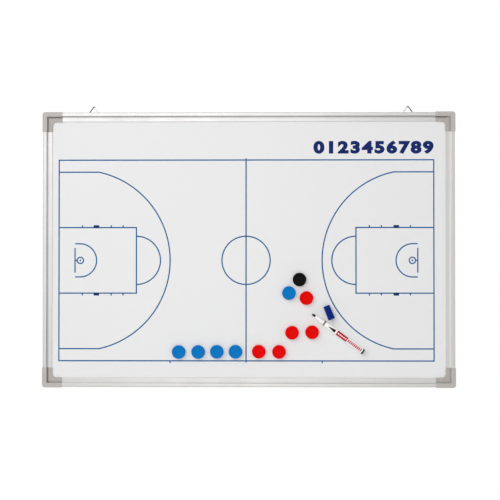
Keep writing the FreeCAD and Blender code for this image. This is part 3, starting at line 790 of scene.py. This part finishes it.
half_length, half_breadth = 14.0, 7.5
basket_in, backboard_in = 1.575, 1.2
rim_in = 1.6
corner_line_in = 0.9
three_point_radius = 6.75
key_length, key_half = 5.8, 2.45
circle_radius = 1.8
no_charge_radius = 1.24
no_charge_gap = 0.05
backboard_half = 0.88
rim_radius = 0.235
dot_radius = 0.068
lane_marks_in = (1.75, 3.91, 4.8)
block_in, block_length = 2.8, 0.42
mark_length = 0.135
centre_overrun = 0.08
throw_in = 8.325
print("printed court in mm", [round(2 * half * COURT_SCALE / MM) for half in (half_length, half_breadth)])

# %% Lines of one half, in court metres
end_line = -half_length
basket, rim_spot = end_line + basket_in, end_line + rim_in
corner_line = half_breadth - corner_line_in
arc_half_angle = math.asin(corner_line / three_point_radius)
arc_start = basket + three_point_radius * math.cos(arc_half_angle)
key_line = end_line + key_length
backboard_line = end_line + backboard_in
centre_edge = -LINE_WIDTH / COURT_SCALE / 2

half_runs = [
    ((end_line, -half_breadth), (end_line, half_breadth)),
    ((key_line, -key_half), (key_line, key_half)),
    ((backboard_line, -backboard_half), (backboard_line, backboard_half)),
    ((backboard_line, 0), (rim_spot - rim_radius, 0)),
]
for side in (-1, 1):
    half_runs.append(((end_line, side * half_breadth), (centre_edge, side * half_breadth)))
    half_runs.append(((end_line, side * corner_line), (arc_start, side * corner_line)))
    half_runs.append(((end_line, side * key_half), (key_line, side * key_half)))
    small_start = backboard_line + no_charge_gap
    half_runs.append(((small_start, side * no_charge_radius), (basket, side * no_charge_radius)))
    mark_end = side * (key_half + mark_length)
    for reach in lane_marks_in:
        half_runs.append(((end_line + reach, side * key_half), (end_line + reach, mark_end)))
quarter = math.pi / 2
half_arcs = [
    ((basket, 0), three_point_radius, arc_half_angle),
    ((key_line, 0), circle_radius, quarter),
    ((basket, 0), no_charge_radius, quarter),
]
middle_runs = [((0, -half_breadth - centre_overrun), (0, half_breadth + centre_overrun))]
for side in (-1, 1):
    mark = side * (half_length - throw_in)
    middle_runs.append(((mark, -half_breadth), (mark, -half_breadth - mark_length)))
print("court runs", len(half_runs) * 2 + len(middle_runs), "arcs", len(half_arcs) * 2)

# %% The court tree
court, court_size = start_tree("printed court", ("Court scale", "Line width", "Ink film"))


def drawn_runs(runs):
    """Straight runs as curves, each one longer by nearly half a line at both ends."""
    reach = LINE_WIDTH / COURT_SCALE * END_OVERLAP_SHARE
    made = []
    for start, end in runs:
        first, last = Vector(start).to_3d(), Vector(end).to_3d()
        over = (last - first).normalized() * reach
        ends = {"Start": first - over, "End": last + over}
        made.append(add_node(court, "GeometryNodeCurvePrimitiveLine", ends))
    return made


def inked(curves):
    """Sweep curves with a flat section of ink, at the size of the board."""
    joined = add_node(court, "GeometryNodeJoinGeometry", {"Geometry": curves})
    spread = add_node(court, "ShaderNodeCombineXYZ", {i: court_size["Court scale"] for i in range(3)})
    scaled = add_node(court, "GeometryNodeTransform", {"Geometry": joined, "Scale": spread})
    upright = add_node(court, "GeometryNodeSetCurveNormal", {"Curve": scaled}, mode="Z_UP")
    section = add_node(court, "GeometryNodeCurvePrimitiveQuadrilateral", {
        "Width": court_size["Line width"], "Height": court_size["Ink film"],
    })
    return add_node(court, "GeometryNodeCurveToMesh", {
        "Curve": upright, "Profile Curve": section, "Fill Caps": True,
    })


arcs = []
for spot, radius, half_angle in half_arcs:
    arc = add_node(court, "GeometryNodeCurveArc", {
        "Resolution": ARC_STEPS, "Radius": radius, "Start Angle": -half_angle, "Sweep Angle": 2 * half_angle,
    }, mode="RADIUS")
    arcs.append(add_node(court, "GeometryNodeTransform", {"Geometry": arc, "Translation": (*spot, 0)}))
rim = add_node(court, "GeometryNodeCurvePrimitiveCircle", {"Resolution": RIM_STEPS, "Radius": rim_radius})
arcs.append(add_node(court, "GeometryNodeTransform", {"Geometry": rim, "Translation": (rim_spot, 0, 0)}))
dot = add_node(court, "GeometryNodeMeshCylinder", {
    "Vertices": DOT_SIDES, "Radius": dot_radius * COURT_SCALE, "Depth": court_size["Ink film"],
})
dot_placed = add_node(court, "GeometryNodeTransform", {
    "Geometry": dot, "Translation": (rim_spot * COURT_SCALE, 0, 0),
})
half_lines = inked(drawn_runs(half_runs) + arcs)
half_print = add_node(court, "GeometryNodeJoinGeometry", {"Geometry": [half_lines, dot_placed]})
print("court tree, nodes for one half", len(court.nodes))

# %% Turn the half round and run the tree
two = add_node(court, "GeometryNodePoints", {"Count": 2})
which = add_node(court, "GeometryNodeInputIndex")
turn = add_node(court, "ShaderNodeMath", {0: which, 1: math.pi}, operation="MULTIPLY")
turned = add_node(court, "ShaderNodeCombineXYZ", {"Z": turn})
halves = add_node(court, "GeometryNodeInstanceOnPoints", {
    "Points": two, "Instance": half_print, "Rotation": turned,
})
ring = add_node(court, "GeometryNodeCurvePrimitiveCircle", {
    "Resolution": ARC_STEPS * 2, "Radius": circle_radius,
})
middle = inked(drawn_runs(middle_runs) + [ring])
whole = add_node(court, "GeometryNodeJoinGeometry", {"Geometry": [halves, middle]})
apart = add_node(court, "GeometryNodeRealizeInstances", {"Geometry": whole})
united = add_node(court, "GeometryNodeMeshBoolean", {
    "Mesh 2": apart, "Self Intersection": True,
}, operation="UNION", solver="EXACT")
close_tree(court, united, court_ink)

court_print = run_tree(court, "court_print", {
    "Court scale": COURT_SCALE, "Line width": LINE_WIDTH, "Ink film": INK_FILM,
})
face_to_front = Matrix.Rotation(math.radians(90), 4, "X")
ink_middle = face_front - INK_FILM / 2 + INK_BED


def onto_face(mesh, across, up):
    """Stand a flat print up on the face, with its own middle at this place on the board."""
    place = Matrix.Translation((board_middle.x + across, ink_middle, board_middle.z + up))
    mesh.transform(place @ face_to_front)


onto_face(court_print.data, *COURT_MIDDLE)
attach(court_print, "board")

# %% [markdown]
# Beside each key stand two solid blocks. Fine lines take little ink, but a solid area prints dense and
# dark, so the blocks get a darker blue and a thicker film, which also covers the line below them.
# The four corners of a grid with two points each way are just the four places they need.

# %% Solid blocks beside the keys
BLOCK_FILM = 0.09 * MM

blocks, block_size = start_tree("lane blocks", ("Along", "Across", "Length", "Breadth", "Ink film"))
places = add_node(blocks, "GeometryNodeMeshGrid", {
    "Size X": block_size["Along"], "Size Y": block_size["Across"], "Vertices X": 2, "Vertices Y": 2,
})
bulk = add_node(blocks, "ShaderNodeCombineXYZ", {
    "X": block_size["Length"], "Y": block_size["Breadth"], "Z": block_size["Ink film"],
})
solid = add_node(blocks, "GeometryNodeMeshCube", {"Size": bulk})
four = add_node(blocks, "GeometryNodeInstanceOnPoints", {"Points": places, "Instance": solid})
close_tree(blocks, four, block_ink)

lane_blocks = run_tree(blocks, "lane_blocks", {
    "Along": 2 * (half_length - block_in) * COURT_SCALE,
    "Across": 2 * (key_half + mark_length / 2) * COURT_SCALE,
    "Length": block_length * COURT_SCALE,
    "Breadth": mark_length * COURT_SCALE + LINE_WIDTH,
    "Ink film": BLOCK_FILM,
})
onto_face(lane_blocks.data, *COURT_MIDDLE)
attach(lane_blocks, "board")

# %% [markdown]
# Above the court stands a plain row of figures in bold navy, a little taller than a thumb is wide. A text
# object gives the outlines. A bevel makes them bold: it grows outwards from the outline, and once the mesh
# is scaled to the thin film, it is no more than the film's edge.

# %% Row of figures
FIGURES_LEFT, FIGURES_RIGHT = 141.8 * MM, 404.0 * MM
FIGURES_LOW, FIGURES_HIGH = 208.7 * MM, 238.2 * MM
FIGURE_BOLD = 0.062
FIGURE_SPACING = 1.24
FIGURE_DEPTH = 0.5

letters = bpy.data.curves.new("figure_row", "FONT")
letters.body = "0123456789"
letters.bevel_depth = FIGURE_BOLD
letters.bevel_resolution = 0
letters.space_character = FIGURE_SPACING
letters.extrude = FIGURE_DEPTH
outline = bpy.data.objects.new("figure_outline", letters)
scene.collection.objects.link(outline)
figures = bpy.data.meshes.new_from_object(outline.evaluated_get(bpy.context.evaluated_depsgraph_get()))
bpy.data.objects.remove(outline)
low = [min(v.co[i] for v in figures.vertices) for i in range(3)]
high = [max(v.co[i] for v in figures.vertices) for i in range(3)]
wanted = (FIGURES_RIGHT - FIGURES_LEFT, FIGURES_HIGH - FIGURES_LOW, INK_FILM)
fit = Matrix.Diagonal([wanted[i] / (high[i] - low[i]) for i in range(3)] + [1])
figures.transform(fit @ Matrix.Translation([-(low[i] + high[i]) / 2 for i in range(3)]))
onto_face(figures, (FIGURES_LEFT + FIGURES_RIGHT) / 2, (FIGURES_LOW + FIGURES_HIGH) / 2)
figures.materials.clear()
figures.materials.append(figure_ink)
figure_row = bpy.data.objects.new("figure_row", figures)
scene.collection.objects.link(figure_row)
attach(figure_row, "board")
print("figures", letters.body, "faces", len(figures.polygons))

# %% [markdown]
# The marker's print wraps round its barrel. One tree bends a flat patch round the marker's axis: its
# length, its width in degrees at both ends and its turn about the axis are inputs, so a stripe, a label
# and a wedge all come from the same rule.

# %% The wrapped patch tree
PATCH_SIZES = (
    "Radius", "Start", "Length", "Width at start", "Width at end", "Turn", "Ink film", "Count", "Pitch",
)
POINTS_ALONG, POINTS_ROUND = 12, 25
PATCH_WELD = 0.001 * MM


def wrapped_patch(title, material):
    """Tree that bends a flat patch of ink round the X axis and repeats it along the axis."""
    tree, size = start_tree(title, PATCH_SIZES)
    grid = add_node(tree, "GeometryNodeMeshGrid", {
        "Size X": 1.0, "Size Y": 1.0, "Vertices X": POINTS_ALONG, "Vertices Y": POINTS_ROUND,
    })
    corner = add_node(tree, "GeometryNodeInputPosition")
    spot = add_node(tree, "ShaderNodeSeparateXYZ", {0: corner}).outputs
    along = add_node(tree, "ShaderNodeMath", {0: spot["X"], 1: 0.5}, operation="ADD")
    width = add_node(tree, "ShaderNodeMapRange", {
        "Value": along, "To Min": size["Width at start"], "To Max": size["Width at end"],
    })
    angle = add_node(tree, "ShaderNodeMath", {
        0: spot["Y"], 1: width, 2: size["Turn"],
    }, operation="MULTIPLY_ADD")
    reach = add_node(tree, "ShaderNodeMath", {
        0: along, 1: size["Length"], 2: size["Start"],
    }, operation="MULTIPLY_ADD")
    sine = add_node(tree, "ShaderNodeMath", {0: angle}, operation="SINE")
    cosine = add_node(tree, "ShaderNodeMath", {0: angle}, operation="COSINE")
    y = add_node(tree, "ShaderNodeMath", {0: cosine, 1: size["Radius"]}, operation="MULTIPLY")
    z = add_node(tree, "ShaderNodeMath", {0: sine, 1: size["Radius"]}, operation="MULTIPLY")
    bent = add_node(tree, "ShaderNodeCombineXYZ", {"X": reach, "Y": y, "Z": z})
    bowed = add_node(tree, "GeometryNodeSetPosition", {"Geometry": grid, "Position": bent})
    sheet = add_node(tree, "GeometryNodeMergeByDistance", {"Geometry": bowed, "Distance": PATCH_WELD})
    outward = add_node(tree, "GeometryNodeFlipFaces", {"Mesh": sheet})
    raised = add_node(tree, "GeometryNodeExtrudeMesh", {
        "Mesh": outward, "Offset Scale": size["Ink film"], "Individual": False,
    })
    closed = add_node(tree, "GeometryNodeJoinGeometry", {"Geometry": [raised, sheet]})
    sealed = add_node(tree, "GeometryNodeMergeByDistance", {"Geometry": closed, "Distance": PATCH_WELD})
    row = add_node(tree, "GeometryNodePoints", {"Count": size["Count"]})
    step = add_node(tree, "ShaderNodeMath", {
        0: add_node(tree, "GeometryNodeInputIndex"), 1: size["Pitch"],
    }, operation="MULTIPLY")
    shifted = add_node(tree, "ShaderNodeCombineXYZ", {"X": step})
    spread = add_node(tree, "GeometryNodeSetPosition", {"Geometry": row, "Position": shifted})
    copies = add_node(tree, "GeometryNodeInstanceOnPoints", {"Points": spread, "Instance": sealed})
    close_tree(tree, copies, material)
    return tree


def wrap_on_marker(name, material, sizes):
    """Run the patch tree and set its result on the marker."""
    piece = run_tree(wrapped_patch(name, material), name, sizes)
    piece.data.transform(marker_frame)
    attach(piece, "marker")


# %% [markdown]
# A grey-brown ring lies in the groove behind the nose as painted shade, a dark band where the groove is in
# shade. A patch that goes the whole way round is a ring, so the same tree makes it. The print on the barrel
# follows: a wedge, a label with plain bars, and a row of strokes.

# %% Ring of painted shade in the groove
SHADE_RING_START, SHADE_RING_LENGTH = 32.35 * MM, 1.9 * MM
SHADE_RING_RADIUS, SHADE_RING_HEIGHT = 4.98 * MM, 0.5 * MM

# Grey-brown tone that stands in for the shade in the groove.
groove_shade_ring_tone = polypropylene(
    "groove_shade_grey_polypropylene", "#6E5F58", "#7D6D65", smooth=0.5, rough=0.62, shine=0.3)
wrap_on_marker("marker_groove_shade_ring", groove_shade_ring_tone, {
    "Radius": SHADE_RING_RADIUS,
    "Start": SHADE_RING_START,
    "Length": SHADE_RING_LENGTH,
    "Width at start": math.tau,
    "Width at end": math.tau,
    "Turn": 0.0,
    "Ink film": SHADE_RING_HEIGHT,
    "Count": 1,
    "Pitch": 0.0,
})

# %% Print on the barrel
BARREL_LIFT = 0.004 * MM
BARREL_FILM = 0.03 * MM

barrel_prints = {
    # name: ink, start mm, length mm, degrees wide at start and end, degrees turned, count, pitch mm, layer
    "marker_wedge": (black_ink, 44.4, 18.2, 8, 76, 4, 1, 0, 0),
    "marker_label": (red_ink, 66.6, 27.8, 124, 124, 0, 1, 0, 0),
    "marker_label_bar": (white_ink, 69.6, 3.2, 27, 27, 0, 5, 4.7, 1),
    "marker_scale": (red_ink, 96.4, 2.8, 70, 70, 0, 9, 4.1, 0),
}
for name, (ink, start, length, first, last, turn, count, pitch, layer) in barrel_prints.items():
    wrap_on_marker(name, ink, {
        "Radius": barrel_radius + BARREL_LIFT + layer * BARREL_FILM,
        "Start": start * MM,
        "Length": length * MM,
        "Width at start": math.radians(first),
        "Width at end": math.radians(last),
        "Turn": math.radians(turn),
        "Ink film": BARREL_FILM,
        "Count": count,
        "Pitch": pitch * MM,
    })

# %% [markdown]
# At the end the construction's own box is printed.
# Finishes and print add nothing to the size of the board.

# %% Size of the construction
print("cad box", [[round(v, 4) for v in c] for c in cad_box])
